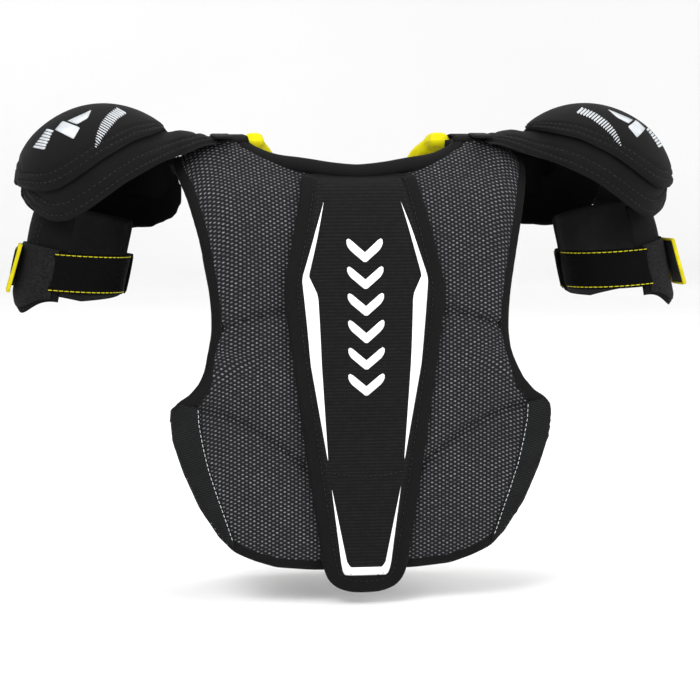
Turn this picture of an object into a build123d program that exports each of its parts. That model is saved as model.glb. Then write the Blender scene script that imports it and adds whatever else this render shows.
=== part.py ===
from build123d import *
from math import cos, sin, radians
import os

os.makedirs("parts", exist_ok=True)

# Hockey shoulder pads, youth size, in millimetres.
# +X is the wearer's right, +Y the wearer's front, +Z up.
# The origin is the middle of the shoulder line, where the vest sits on the shoulders.

# ---- Thickness of the vest, measured outwards from the wearer ------------------
liner_out = 1.0          # inner lining, from the wearer out to here
foam_in, foam_out = 1.1, 7.9
cover_in, cover_out = 8.0, 9.2
bind_in, bind_out = -0.6, 10.2
bind_width = 8.0
spine_gaps = (10.3, 11.7, 11.8, 14.9, 15.0, 16.2)     # plate, foam, cover
spine_bind = (10.3, 17.0)
elastic_gaps = (4.0, 6.0)                             # side elastic

# ---- The wearer's form: height, half width, half depth, middle Y, lean ---------
shoulder_rows = [
    (-100, 124, 57, 7, 6), (-64, 127, 49, 4, 17), (-42, 124, 39, 2, 34), (-28, 116, 28, 1, 52),
    (-18, 106, 20, 0, 66), (-12, 96, 14, 0, 75), (-8, 87, 10, 0, 82),
]
torso_rows = [(-302, 76, 56, 8, 0), (-262, 84, 60, 8, 0), (-176, 106, 60, 8, 0), (-130, 114, 60, 8, 0)]
torso_rows += shoulder_rows

# The back panel stays flat at its lower wings, which stand off the flanks; the last number is the corner radius.
wing_rows = [(-302, 104, 56, 8, 0, 18), (-262, 112, 60, 8, 0, 18), (-210, 126, 60, 8, 0, 18),
             (-166, 130, 60, 8, 0, 18), (-148, 124, 60, 8, 0, 36), (-130, 119, 60, 8, 0, 58)]

# ---- Outlines seen from behind, right half, as (x, z) --------------------------
back_outline = [
    (0, -20), (20, -18), (38, -14.5), (54, -10), (66, -4), (74, 6), (80, 30), (119, 30),
    (116, -8), (113, -20), (107.5, -38), (104, -52), (101.5, -62), (98.5, -78), (96, -93),
    (94.5, -107), (94.5, -120), (96, -132), (99, -144), (104, -153), (111, -160), (118, -164.5),
    (121, -168), (121.5, -172), (120, -188), (114, -207), (104, -232), (91, -254), (82, -264),
    (70, -270), (56, -275), (33, -277.4), (0, -278),
]
spine_outline = [
    (0, -27), (24, -27), (33, -29), (37, -34), (44, -62), (51, -93), (49, -114),
    (45, -143), (36.5, -204), (30, -250), (27, -272), (24, -282), (16, -289.5), (6, -292), (0, -292),
]
chest_outline = [
    (0, -62), (22, -59), (40, -49), (53, -33), (61, -14), (65, 6), (66, 30), (88, 30),
    (88, -30), (90, -55), (86, -80), (81, -104), (78, -124), (80.4, -142), (85.4, -156),
    (86.6, -170), (86.2, -184), (83.4, -200), (78.6, -218), (74, -234), (65, -243), (38, -250), (0, -252),
]
sternum_outline = [
    (0, -70), (18, -70), (30, -74), (36, -84), (37, -112), (33, -160), (27, -205),
    (22, -219), (12, -226), (0, -227),
]
foam_outlines = {
    "back_foam_upper": [(3, -31), (34, -27), (60, -19), (78, -8), (84, 20), (104, 20),
                        (104, -14), (102.6, -24), (96.8, -44), (91.5, -66), (87.5, -88), (85.6, -104),
                        (52, -97), (3, -96)],
    "back_foam_middle": [(3, -100), (52, -101), (85.5, -108), (85.5, -120), (87, -133), (90.5, -146),
                         (94, -152.5), (100, -160.5), (88, -166), (66, -176), (45, -190.5), (34, -199), (3, -203)],
    "back_foam_lower": [(3, -207), (36, -203), (47, -195), (68, -180.5), (90, -170), (103, -164.5),
                        (112, -170.5), (110.5, -187), (105, -204), (95.5, -228), (84, -248.5), (77, -256.5),
                        (66, -262), (3, -268)],
}
chest_foam = [(3, -72), (26, -69), (48, -56), (61, -38), (70, -16), (75, 20), (79, 20), (79, -30),
              (81, -55), (77, -80), (72, -104), (69.2, -124), (71.6, -143), (76.6, -157), (77.4, -170),
              (77.2, -183), (74.6, -198), (69.8, -216), (66, -228), (62, -233.5), (37, -240.5), (3, -242)]

# ---- Shoulder caps: nested oblate domes about an axis along Y ------------------
cap_x, cap_z = 158.0, -35.0
cap_depth_ratio = 66 / 58.5
cap_upper_r = (55.6, 58.5)
cap_plate_r = (53.9, 55.5)
cap_lower_r = (47.6, 53.7)
cap_lobe_x, cap_lobe_y = 142.0, 1.4                    # middle of the front lobe's own dome
cap_lobe_r = (39.0, 44.0)
tongue_profile = [(91, 3), (91, 6), (108, 6.4), (126, 6.4), (126, 0.5), (112, 1.6)]
cap_upper_rim = [(112, 40), (230, 40), (230, -22), (218, -27), (207, -31), (196, -31), (182, -23.4),
                 (163, -9.7), (143, 1.3), (125, 6), (112, 8)]
cap_plate_rim = [(116, 40), (230, 40), (230, -16), (207, -24), (196, -24), (184, -17),
                 (165, -4), (146, 7), (128, 11), (116, 12)]
cap_lower_rim = [(97, 30), (230, 30), (230, -24), (213.5, -27), (209.6, -37), (203, -45.5),
                 (194.7, -50.5), (184.8, -49.5), (171.6, -41.4), (160, -32.9), (149.7, -25.6), (135, -18),
                 (124.3, -12.8), (113.4, -8.5), (102.4, -4.1), (98, -1.5)]
cap_lobe_rim = [(147, -8), (176, -8), (180, -25), (172, -44), (160, -56), (142, -60), (124, -58),
                (110, -51), (103, -41), (102, -30), (104, -18), (107, -12), (113, -11), (124, -15.3),
                (135, -20.5), (146, -26.5)]

# ---- Arm guard: a ring about an axis that leans out at the bottom ---------------
arm_x, arm_z, arm_tilt = 178.0, -88.0, 12.0
pad_r = (29.5, 33.9)
plate_r = (34.0, 35.2)
loop_r = (35.3, 36.5)
band_r = (34.1, 35.8)
strap_r = (37.2, 39.0)
hook_in, hook_out = 37.4, 39.4
band_half = 13.0

# ---- Side straps ---------------------------------------------------------------
strap_cut_y = -2.0
strap_end_y = 50.0
tab_end_y = 70.0
flank_middle = 46.0                                    # of the flank's round, at a height of -176
flank_slope = (106 - 84) / (262 - 176)                # how fast the flank narrows


def mirrored(points):
    """A closed outline from its right half, which starts and ends on the middle line."""
    return points + [(-x, z) for x, z in reversed(points) if x > 0]


forms = {}


def form(gap, wings=False):
    """The wearer's form grown by a gap; with wings it is the flatter form of the back panel."""
    if (gap, wings) not in forms:
        rows = [(*row, row[2] - 0.3) for row in (shoulder_rows if wings else torso_rows)]
        with BuildPart() as body:
            for z, half_x, half_y, mid_y, lean, corner in (wing_rows + rows if wings else rows):
                out = gap * cos(radians(lean))
                with BuildSketch(Plane.XY.offset(z + gap * sin(radians(lean)))):
                    with Locations((0, mid_y)):
                        RectangleRounded(2 * (half_x + out), 2 * (half_y + out), corner + out)
            loft(ruled=True)
        forms[gap, wings] = body.part
    return forms[gap, wings]


def layer(outline, gap_in, gap_out, y_from, y_to, inset=None):
    """A sheet of the vest: an outline seen from behind, between two gaps from the wearer."""
    with BuildPart() as sheet:
        with BuildSketch(Plane.XZ.offset(-y_to)):
            with BuildLine():
                Polyline(*outline, close=True)
            make_face()
            if inset:
                offset(amount=-inset, kind=Kind.INTERSECTION, mode=Mode.REPLACE)
        extrude(amount=y_to - y_from)
        add(form(gap_out, y_from < -100), mode=Mode.INTERSECT)
        add(form(gap_in, y_from < -100), mode=Mode.SUBTRACT)
    return sheet.part


def edging(outline, gap_in, gap_out, y_from, y_to, width):
    """A binding: the strip along the edge of an outline."""
    with BuildPart() as strip:
        with BuildSketch(Plane.XZ.offset(-y_to)):
            with BuildLine():
                Polyline(*outline, close=True)
            make_face()
            offset(amount=-width, kind=Kind.INTERSECTION, mode=Mode.SUBTRACT)
        extrude(amount=y_to - y_from)
        add(form(gap_out, y_from < -100), mode=Mode.INTERSECT)
        add(form(gap_in, y_from < -100), mode=Mode.SUBTRACT)
    return strip.part


def prism(points, y_from, y_to):
    """An outline seen from behind, pushed through from y_from to y_to."""
    with BuildPart() as block:
        with BuildSketch(Plane.XZ.offset(-y_to)):
            with BuildLine():
                Polyline(*points, close=True)
            make_face()
        extrude(amount=y_to - y_from)
    return block.part


def dome(side, r_in, r_out, rim, y_from, y_to, at_x=cap_x, at_y=0.0):
    """Part of an oblate dome shell of a shoulder cap, kept inside a rim outline.
    The side is 1 for the right cap and -1 for the left."""
    with BuildPart() as shell:
        with BuildSketch(Plane.XY):
            Ellipse(r_out, r_out * cap_depth_ratio)
            if r_in:
                Ellipse(r_in, r_in * cap_depth_ratio, mode=Mode.SUBTRACT)
            with Locations((-100, 0)):
                Rectangle(200, 300, mode=Mode.SUBTRACT)
        revolve(axis=Axis.Y)
    with BuildPart() as kept:
        add(shell.part.moved(Location((side * at_x, at_y, cap_z))))
        add(prism([(side * x, z) for x, z in rim], y_from, y_to), mode=Mode.INTERSECT)
    return kept.part


def arc_wall(r_in, r_out, start, end, z_from, z_to):
    """A curved wall about the arm guard's own axis, from one angle to another."""
    with BuildPart() as wall:
        with BuildSketch(Plane.XY.offset(z_from)):
            with BuildLine():
                outer = CenterArc((0, 0), r_out, start, end - start)
                inner = CenterArc((0, 0), r_in, start, end - start)
                Line(outer @ 0, inner @ 0)
                Line(outer @ 1, inner @ 1)
            make_face()
        extrude(amount=z_to - z_from)
    return wall.part


def on_arm(part):
    """Moves a piece from the arm guard's own axis to its place."""
    return part.moved(Location((arm_x, 0, arm_z), (0, -arm_tilt, 0)))


def save(part, name):
    solids = part.solids()
    print(f"{name:26s} solids {len(solids)}  valid {part.is_valid}  volume {part.volume:10.1f}")
    part.label = name
    export_step(part, f"parts/{name}.step")


def save_pair(part, name):
    """Saves the right piece and its mirror image on the left."""
    save(part, name + "_right")
    save(mirror(part, about=Plane.YZ), name + "_left")


# =============================== Back of the vest ================================
back = mirrored(back_outline)
chest = mirrored(chest_outline)
spine = mirrored(spine_outline)
sternum = mirrored(sternum_outline)
behind, ahead = (-120, -1), (1, 120)

with BuildPart() as back_cover:
    add(layer(back, cover_in, cover_out, *behind, inset=bind_width))
save(back_cover.part, "back_cover")

with BuildPart() as back_liner:
    add(layer(back, 0, liner_out, *behind, inset=bind_width))
save(back_liner.part, "back_liner")

for name, outline in foam_outlines.items():
    with BuildPart() as back_foam:
        add(layer(outline, foam_in, foam_out, *behind))
    save_pair(back_foam.part, name)

neck_zone = [(-96, 20), (96, 20), (90, -9), (62, -34), (-62, -34), (-90, -9)]
binding_ring = edging(back, bind_in, bind_out, *behind, bind_width)
with BuildPart() as back_binding:
    add(binding_ring)
    add(prism(neck_zone, -120, 0), mode=Mode.SUBTRACT)
save(back_binding.part, "back_binding")

with BuildPart() as neck_binding:
    add(binding_ring)
    add(prism(neck_zone, -120, 0), mode=Mode.INTERSECT)
save(neck_binding.part, "neck_binding")

# Spine guard: plate, foam and cover inside its own binding, lying on the back cover.
for name, gap_in, gap_out in (("spine_plate", *spine_gaps[0:2]), ("spine_foam", *spine_gaps[2:4]),
                              ("spine_cover", *spine_gaps[4:6])):
    with BuildPart() as spine_sheet:
        add(layer(spine, gap_in, gap_out, *behind, inset=bind_width + 0.1))
    save(spine_sheet.part, name)
with BuildPart() as spine_binding:
    add(edging(spine, *spine_bind, *behind, bind_width))
save(spine_binding.part, "spine_binding")

# Anchor strips on top of the shoulders, where the cap tongues are sewn on.
with BuildPart() as cap_anchor:
    with Locations((84, -15, 3.4)):
        Box(12, 26, 1.8)
save_pair(cap_anchor.part, "cap_anchor")

# =============================== Side elastics ===================================
# The elastic starts on the inner face of the back panel's wing and goes forward round the flank.
side_outline = [(60, -177), (140, -177), (140, -232), (100, -246), (60, -252)]
with BuildPart() as side_elastic:
    add(layer(side_outline, *elastic_gaps, -50.9, strap_cut_y - 0.3))
save_pair(side_elastic.part, "side_elastic")


def side_profile(y_from, y_to, top_from, top_to, low_from, low_to):
    """A tapering strip seen from the side, pushed through along X."""
    with BuildPart() as block:
        with BuildSketch(Plane.YZ.offset(20)):
            with BuildLine():
                Polyline((y_from, low_from), (y_from, top_from), (y_to, top_to), (y_to, low_to), close=True)
            make_face()
        extrude(amount=130)
    return block.part


with BuildPart() as side_strap:
    add(side_profile(strap_cut_y + 0.3, strap_end_y, -178, -194, -240, -240))
    add(form(elastic_gaps[1]), mode=Mode.INTERSECT)
    add(form(elastic_gaps[0]), mode=Mode.SUBTRACT)
save_pair(side_strap.part, "side_strap")


def flank_plate(depth_in, depth_out, z_top, z_low, y_from, y_to):
    """A flat plate that leans with the flank, at a distance from the flank's axis."""
    top_x = flank_middle - (-176 - z_top) * flank_slope
    low_x = flank_middle - (-176 - z_low) * flank_slope
    return prism([(top_x + depth_in, z_top), (top_x + depth_out, z_top),
                  (low_x + depth_out, z_low), (low_x + depth_in, z_low)], y_from, y_to)


with BuildPart() as side_tab:
    add(flank_plate(48.4, 50.6, -194, -240, strap_end_y + 0.1, tab_end_y))
save_pair(side_tab.part, "side_tab")

# =============================== Chest ===========================================
with BuildPart() as chest_cover:
    add(layer(chest, cover_in, cover_out, *ahead, inset=bind_width))
save(chest_cover.part, "chest_cover")

with BuildPart() as chest_liner:
    add(layer(chest, 0, liner_out, *ahead, inset=bind_width))
save(chest_liner.part, "chest_liner")

with BuildPart() as chest_pad:
    add(layer(chest_foam, foam_in, foam_out, *ahead))
save_pair(chest_pad.part, "chest_foam")

chest_ring = edging(chest, bind_in, bind_out, *ahead, bind_width)
collar_zone = [(-79, 40), (79, 40), (79, -30), (60, -75), (-60, -75), (-79, -30)]
with BuildPart() as chest_binding:
    add(chest_ring)
    add(prism(collar_zone, 0, 120), mode=Mode.SUBTRACT)
save(chest_binding.part, "chest_binding")

with BuildPart() as collar_binding:
    add(chest_ring)
    add(prism(collar_zone, 0, 120), mode=Mode.INTERSECT)
save(collar_binding.part, "collar_binding")

for name, gap_in, gap_out in (("sternum_foam", spine_gaps[0], spine_gaps[3]),
                              ("sternum_cover", *spine_gaps[4:6])):
    with BuildPart() as sternum_sheet:
        add(layer(sternum, gap_in, gap_out, *ahead, inset=bind_width + 0.1))
    save(sternum_sheet.part, name)
with BuildPart() as sternum_binding:
    add(edging(sternum, *spine_bind, *ahead, bind_width))
save(sternum_binding.part, "sternum_binding")

# Clavicle pads: soft edges that reach from each shoulder strap a little way into the neck opening.
with BuildPart() as clavicle_pad:
    add(layer([(64.3, 6.1), (60.35, -13.8), (52.35, -32.7), (46, -28), (42.5, -20), (44, -13), (50, -5), (57, 1.5)],
              0.5, 9.5, 2.5, 44))
save_pair(clavicle_pad.part, "clavicle_pad")

# Loop patches on the chest's flanks, where the side tabs hook on.
with BuildPart() as chest_loop:
    add(flank_plate(45.2, 47.8, -198, -232, 51, 66))
save_pair(chest_loop.part, "chest_loop")

# =============================== Shoulder caps ===================================
for side, hand in ((1, "right"), (-1, "left")):
    # A passage under the cap for the shoulder, open towards the neck.
    with BuildPart() as passage:
        with BuildSketch(Plane.YZ.offset(side * 109)):
            with Locations((0, -56)):
                Ellipse(41, 50)
        extrude(amount=49, both=True)

    with BuildPart() as cap_upper:
        add(dome(side, *cap_upper_r, cap_upper_rim, -90, 90))
    save(cap_upper.part, "cap_upper_" + hand)

    with BuildPart() as cap_plate:
        add(dome(side, *cap_plate_r, cap_plate_rim, -90, 90))
    save(cap_plate.part, "cap_plate_" + hand)

    with BuildPart() as cap_lower:
        add(dome(side, *cap_lower_r, cap_lower_rim, -90, 90))
        add(passage.part, mode=Mode.SUBTRACT)
    save(cap_lower.part, "cap_lower_" + hand)

    with BuildPart() as cap_front_pad:
        add(dome(side, *cap_lobe_r, cap_lobe_rim, 26, 90, cap_lobe_x, cap_lobe_y))
    save(cap_front_pad.part, "cap_front_pad_" + hand)

    # The tongue bridges from the shoulder strap to the dome.
    with BuildPart() as cap_tongue:
        with BuildSketch(Plane.XZ.offset(-28)):
            with BuildLine():
                Polyline(*[(side * x, z) for x, z in tongue_profile], close=True)
            make_face()
        extrude(amount=56)
        add(dome(side, None, cap_upper_r[1] + 0.1, [(80, 60), (230, 60), (230, -60), (80, -60)], -90, 90),
            mode=Mode.SUBTRACT)
    save(cap_tongue.part, "cap_tongue_" + hand)

# =============================== Arm guards ======================================
with BuildPart() as hump_keep:
    with BuildSketch(Plane.YZ):
        with Locations((0, -3)):
            Ellipse(23, 25)
    extrude(amount=60)
with BuildPart() as hump:
    add(arc_wall(*pad_r, -60, 60, -30, -15))
    add(hump_keep.part, mode=Mode.INTERSECT)
with BuildPart() as bicep_pad:
    add(on_arm(arc_wall(*pad_r, -80, 130, -15, 22)))
    add(on_arm(hump.part))
save_pair(bicep_pad.part, "bicep_pad")

with BuildPart() as bicep_plate:
    add(on_arm(arc_wall(*plate_r, -52, 62, -13, 20)))
save_pair(bicep_plate.part, "bicep_plate")

with BuildPart() as bicep_loop:
    add(on_arm(arc_wall(*loop_r, -30, 55, -12, 16)))
save_pair(bicep_loop.part, "bicep_loop")

with BuildPart() as bicep_hanger:
    add(on_arm(arc_wall(29.6, 31.4, -70, 115, 22.1, 33)))
save_pair(bicep_hanger.part, "bicep_hanger")

with BuildPart() as arm_band:
    add(on_arm(arc_wall(*band_r, -178, -56, -band_half, band_half)))
save_pair(arm_band.part, "arm_band")

with BuildPart() as arm_strap:
    add(on_arm(arc_wall(*strap_r, 1, 178, -band_half, band_half)))
save_pair(arm_strap.part, "arm_strap")

with BuildPart() as hook_plate:
    with Locations(((hook_in + hook_out) / 2, -9.85, 0)):
        Box(hook_out - hook_in, 20.3, 2 * band_half + 2)
with BuildPart() as arm_hook:
    add(on_arm(hook_plate.part))
save_pair(arm_hook.part, "arm_hook")
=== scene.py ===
import bmesh, bpy, math
import numpy as np
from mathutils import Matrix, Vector
from mathutils.bvhtree import BVHTree
from mathutils.geometry import delaunay_2d_cdt


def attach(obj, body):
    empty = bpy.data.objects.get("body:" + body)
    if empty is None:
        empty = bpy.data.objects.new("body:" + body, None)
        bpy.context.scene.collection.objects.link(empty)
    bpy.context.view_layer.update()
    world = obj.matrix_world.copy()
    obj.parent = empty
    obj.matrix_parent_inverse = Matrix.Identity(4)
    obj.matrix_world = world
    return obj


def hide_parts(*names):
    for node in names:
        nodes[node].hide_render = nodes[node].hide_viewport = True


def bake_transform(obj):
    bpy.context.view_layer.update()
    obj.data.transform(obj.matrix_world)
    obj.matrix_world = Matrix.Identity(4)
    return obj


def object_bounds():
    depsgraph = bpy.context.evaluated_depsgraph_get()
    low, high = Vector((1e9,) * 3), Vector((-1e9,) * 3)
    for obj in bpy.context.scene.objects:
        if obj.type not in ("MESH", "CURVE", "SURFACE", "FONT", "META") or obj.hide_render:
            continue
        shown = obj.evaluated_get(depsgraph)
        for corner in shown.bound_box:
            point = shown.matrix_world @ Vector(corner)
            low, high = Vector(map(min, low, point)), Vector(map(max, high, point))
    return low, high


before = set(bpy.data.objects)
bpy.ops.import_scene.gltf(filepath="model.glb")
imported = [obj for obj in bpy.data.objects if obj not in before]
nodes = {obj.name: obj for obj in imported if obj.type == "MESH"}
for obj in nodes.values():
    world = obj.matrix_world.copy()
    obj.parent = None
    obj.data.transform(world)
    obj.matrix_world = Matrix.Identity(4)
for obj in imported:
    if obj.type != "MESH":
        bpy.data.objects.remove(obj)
cad_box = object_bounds()

MM = 0.001
rad = math.radians
HANDS = (("right", 1), ("left", -1))

# ================================================================ materials
slots = {}


class Shader:
    """A small helper that chains nodes of one material."""

    def __init__(self, name, rough=0.8, sheen=0.0, sheen_rough=0.4, spec=0.14, coat=0.0):
        self.m = bpy.data.materials.new(name)
        self.m.use_nodes = True
        self.t = self.m.node_tree
        self.b = self.t.nodes["Principled BSDF"]
        self.b.inputs["Roughness"].default_value = rough
        self.b.inputs["Specular IOR Level"].default_value = spec
        self.b.inputs["Sheen Weight"].default_value = sheen
        self.b.inputs["Sheen Roughness"].default_value = sheen_rough
        self.b.inputs["Coat Weight"].default_value = coat
        tc = self.t.nodes.new("ShaderNodeTexCoord")
        self.obj = tc.outputs["Object"]
        self.uvout = tc.outputs["UV"]
        slots[name] = self.m

    def set(self, sock, v):
        if isinstance(v, bpy.types.NodeSocket):
            self.t.links.new(v, sock)
        else:
            sock.default_value = v

    def math(self, op, a, b=0.0, c=0.0, clamp=False):
        n = self.t.nodes.new("ShaderNodeMath")
        n.operation = op
        n.use_clamp = clamp
        for i, v in enumerate((a, b, c)):
            self.set(n.inputs[i], v)
        return n.outputs[0]

    def xyz(self, vec):
        n = self.t.nodes.new("ShaderNodeSeparateXYZ")
        self.t.links.new(vec, n.inputs[0])
        return n.outputs

    def noise(self, scale, detail=3.0, rough=0.55):
        n = self.t.nodes.new("ShaderNodeTexNoise")
        n.inputs["Scale"].default_value = scale
        n.inputs["Detail"].default_value = detail
        n.inputs["Roughness"].default_value = rough
        self.t.links.new(self.obj, n.inputs["Vector"])
        return n.outputs["Fac"]

    def smooth(self, v, lo, hi, out_lo=0.0, out_hi=1.0):
        n = self.t.nodes.new("ShaderNodeMapRange")
        n.interpolation_type = "SMOOTHSTEP"
        self.t.links.new(v, n.inputs[0])
        for i, x in enumerate((lo, hi, out_lo, out_hi)):
            n.inputs[i + 1].default_value = x
        return n.outputs[0]

    def mix(self, fac, a, b):
        n = self.t.nodes.new("ShaderNodeMix")
        n.data_type = "RGBA"
        self.set(n.inputs[0], fac)
        for sock, v in ((n.inputs[6], a), (n.inputs[7], b)):
            if isinstance(v, bpy.types.NodeSocket):
                self.t.links.new(v, sock)
            else:
                sock.default_value = (*v, 1.0)
        return n.outputs[2]

    def colour(self, v):
        self.set(self.b.inputs["Base Color"], v)

    def rough(self, v):
        self.set(self.b.inputs["Roughness"], v)

    def bump(self, height, strength, dist):
        n = self.t.nodes.new("ShaderNodeBump")
        n.inputs["Strength"].default_value = strength
        n.inputs["Distance"].default_value = dist
        self.t.links.new(height, n.inputs["Height"])
        if self.b.inputs["Normal"].is_linked:
            self.t.links.new(self.b.inputs["Normal"].links[0].from_socket, n.inputs["Normal"])
        self.t.links.new(n.outputs[0], self.b.inputs["Normal"])

    def wave(self, v, pitch, phase=0.0):
        """0..1 sine of a coordinate, with a pitch in the coordinate's own unit."""
        s = self.math("SINE", self.math("MULTIPLY_ADD", v, 2 * math.pi / pitch, phase))
        return self.math("MULTIPLY_ADD", s, 0.5, 0.5)

    def weave(self, pitch):
        """A plain weave from the piece's own coordinates, good on any facing."""
        x, y, z = self.xyz(self.obj)[:3]
        a = self.wave(self.math("ADD", x, self.math("MULTIPLY", y, 0.6)), pitch)
        b = self.wave(self.math("ADD", z, self.math("MULTIPLY", y, 0.4)), pitch, 1.2)
        return self.math("MULTIPLY", a, b)


def cloth_material(name, dark, light, pitch=0.0009, rough=0.86, sheen=0.05, blotch=30):
    s = Shader(name, rough, sheen * 0.25)
    w = s.weave(pitch)
    n = s.noise(blotch, 4)
    fine = s.noise(900, 2)
    tone = s.math("ADD", s.math("MULTIPLY", w, 0.35), s.math("MULTIPLY", s.smooth(n, 0.35, 0.7), 0.65))
    s.colour(s.mix(s.math("MULTIPLY", tone, s.smooth(fine, 0.2, 0.8, 0.7, 1.0)), dark, light))
    s.rough(s.smooth(n, 0.3, 0.7, rough - 0.06, rough + 0.06))
    s.bump(w, 0.35, 0.00025)
    s.bump(fine, 0.25, 0.0003)
    return s


# Dark spacer mesh with raised pale-grey dots in staggered rows, read from the piece's cut pattern.
s = Shader("mesh_fabric", 0.78, 0.01)
u, v = s.xyz(s.uvout)[:2]
u = s.math("MULTIPLY", u, 1000.0)
v = s.math("MULTIPLY", v, 1000.0)
cells = []
for du, dv in ((0.0, 0.0), (0.5, 0.5)):
    a = s.math("SUBTRACT", s.math("FRACT", s.math("MULTIPLY_ADD", u, 1 / 4.85, du + 200.0)), 0.5)
    b = s.math("SUBTRACT", s.math("FRACT", s.math("MULTIPLY_ADD", v, 1 / 2.58, dv + 200.0)), 0.5)
    a2 = s.math("POWER", s.math("MULTIPLY", s.math("ABSOLUTE", a), 4.85 * 0.9), 2.0)
    b2 = s.math("POWER", s.math("MULTIPLY", s.math("ABSOLUTE", b), 2.58 * 1.45), 2.0)
    cells.append(s.math("SQRT", s.math("ADD", a2, b2)))
dist = s.math("MINIMUM", *cells)
dot = s.smooth(dist, 0.30, 1.0, 1.0, 0.0)
glint = s.smooth(s.noise(650, 2, 0.6), 0.32, 0.72, 0.25, 1.0)
patch = s.smooth(s.noise(22, 3), 0.3, 0.7, 0.75, 1.0)
tone = s.math("MULTIPLY", s.math("MULTIPLY", dot, glint), patch)
s.colour(s.mix(tone, (0.0066, 0.0066, 0.0078), (0.225, 0.225, 0.235)))
s.rough(s.smooth(dot, 0.0, 1.0, 0.85, 0.6))
s.bump(dot, 0.6, 0.0005)
s.bump(s.noise(1400, 2), 0.3, 0.0003)

cloth_material("binding", (0.0015, 0.0015, 0.0015), (0.0062, 0.0056, 0.0058), 0.0011, 0.88, 0.06)
cloth_material("pad_fabric", (0.0008, 0.0008, 0.0008), (0.003, 0.0028, 0.0028), 0.0010, 0.9, 0.02)
cloth_material("cap_shell", (0.0012, 0.0011, 0.0011), (0.0058, 0.0053, 0.0053), 0.0008, 0.88, 0.05)
cloth_material("webbing", (0.006, 0.006, 0.006), (0.016, 0.015, 0.015), 0.0016, 0.8, 0.05)
cloth_material("lining", (0.010, 0.010, 0.011), (0.022, 0.022, 0.024), 0.0012, 0.9, 0.06)
cloth_material("yellow_lining", (0.50, 0.44, 0.0), (0.64, 0.58, 0.002), 0.0010, 0.8, 0.1, 60)
cloth_material("yellow_binding", (0.42, 0.36, 0.0), (0.62, 0.55, 0.004), 0.0012, 0.75, 0.1, 90)
cloth_material("thread", (0.006, 0.006, 0.006), (0.030, 0.028, 0.028), 0.0006, 0.6, 0.1, 200)
cloth_material("yellow_thread", (0.36, 0.33, 0.004), (0.55, 0.50, 0.01), 0.0006, 0.55, 0.1, 300)
cloth_material("hook_fabric", (0.008, 0.008, 0.008), (0.03, 0.03, 0.03), 0.0013, 0.7, 0.02)
cloth_material("white_print", (0.80, 0.81, 0.82), (0.90, 0.91, 0.92), 0.0010, 0.55, 0.0, 80)
cloth_material("silver_print", (0.40, 0.42, 0.44), (0.58, 0.60, 0.62), 0.0009, 0.5, 0.0, 120)
cloth_material("foam", (0.32, 0.32, 0.30), (0.45, 0.45, 0.42), 0.003, 0.95, 0.0)

# Knitted cover of the spine guard: fine level ribs.
s = Shader("knit_fabric", 0.85, 0.01)
u, v = s.xyz(s.uvout)[:2]
wob = s.math("MULTIPLY", s.noise(120, 2), 0.0006)
rib = s.wave(s.math("ADD", v, wob), 0.0021)
stitch = s.wave(u, 0.0012)
tone = s.math("MULTIPLY", rib, s.math("MULTIPLY_ADD", stitch, 0.5, 0.5))
s.colour(s.mix(s.math("MULTIPLY", tone, s.smooth(s.noise(300, 3), 0.3, 0.7, 0.4, 1.0)),
               (0.0018, 0.0018, 0.0018), (0.0105, 0.0095, 0.0095)))
s.bump(tone, 0.5, 0.0004)

# Broad ribbed elastic, grey, and flat black elastic.
for name, dark, light in (("grey_elastic", (0.0050, 0.0052, 0.0053), (0.0165, 0.0172, 0.0175)),
                          ("black_elastic", (0.0004, 0.0004, 0.0004), (0.0018, 0.0018, 0.0018))):
    s = Shader(name, 0.8, 0.0, spec=0.06)
    u, v = s.xyz(s.uvout)[:2]
    rib = s.wave(v, 0.0015 if name == "grey_elastic" else 0.0012)
    pick = s.wave(u, 0.0011)
    tone = s.math("MULTIPLY", s.math("MULTIPLY_ADD", pick, 0.4, 0.6), rib)
    s.colour(s.mix(s.math("MULTIPLY", tone, s.smooth(s.noise(80, 3), 0.3, 0.7, 0.6, 1.0)), dark, light))
    s.bump(tone, 0.5, 0.0004)

# Looped velour.
s = Shader("loop_fabric", 0.95, 0.02, 0.5)
n1 = s.noise(700, 4, 0.7)
n2 = s.noise(140, 3)
s.colour(s.mix(s.smooth(n1, 0.35, 0.7), (0.002, 0.002, 0.002), (0.012, 0.0115, 0.0115)))
s.bump(n1, 0.8, 0.0010)
s.bump(n2, 0.3, 0.0010)

# Moulded plastic of the inner plates.
s = Shader("plate_plastic", 0.45, 0.0, spec=0.5)
s.colour(s.mix(s.smooth(s.noise(40, 3), 0.3, 0.7), (0.42, 0.42, 0.40), (0.52, 0.52, 0.50)))
s.bump(s.noise(500, 2), 0.15, 0.0002)

for node, ob in nodes.items():
    slot = ("plate_plastic" if "plate" in node else "binding" if "binding" in node else "foam"
            if "foam" in node
            else "webbing" if any(k in node for k in ("tongue", "anchor", "hanger")) else "pad_fabric")
    ob = bpy.data.objects.get(node) or ob
    if hasattr(ob, "material_slots"):
        for ms in ob.material_slots:
            ms.material = slots[slot]

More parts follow.
